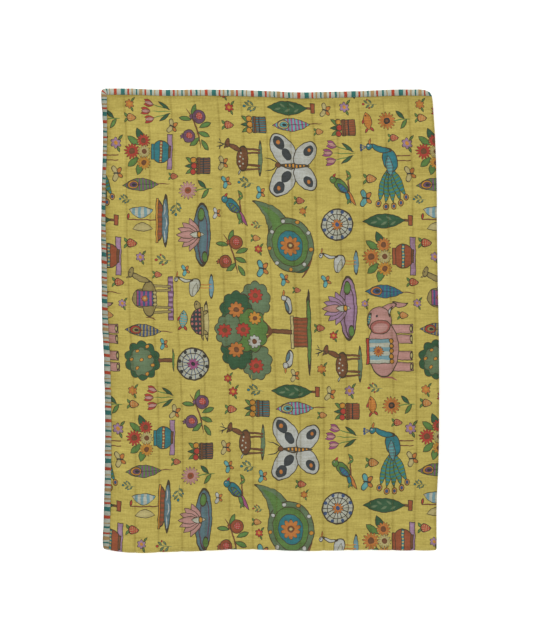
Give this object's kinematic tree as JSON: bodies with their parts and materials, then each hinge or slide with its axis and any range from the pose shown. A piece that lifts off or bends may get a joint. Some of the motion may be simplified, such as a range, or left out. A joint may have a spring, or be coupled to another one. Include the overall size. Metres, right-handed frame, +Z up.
{
  "type": "dohar, folded in four",
  "caption": "Light quilted cotton blanket with a striped binding, folded lengthwise and crosswise into a flat stack.",
  "frame": {"origin": "middle of the stack's foot, on the surface it lies on", "axes": "+X across the stack to the lengthwise fold, +Y along it to the free ends, +Z up"},
  "size_m": [0.8074, 1.1102, 0.0248],
  "materials": {
    "printed_cotton": "printed plain-weave cotton, matt, quilted in long channels",
    "striped_cotton": "striped plain-weave cotton, matt"
  },
  "bodies": {
    "root": {"quilt": "printed_cotton", "binding": "striped_cotton"}
  },
  "joints": []
}
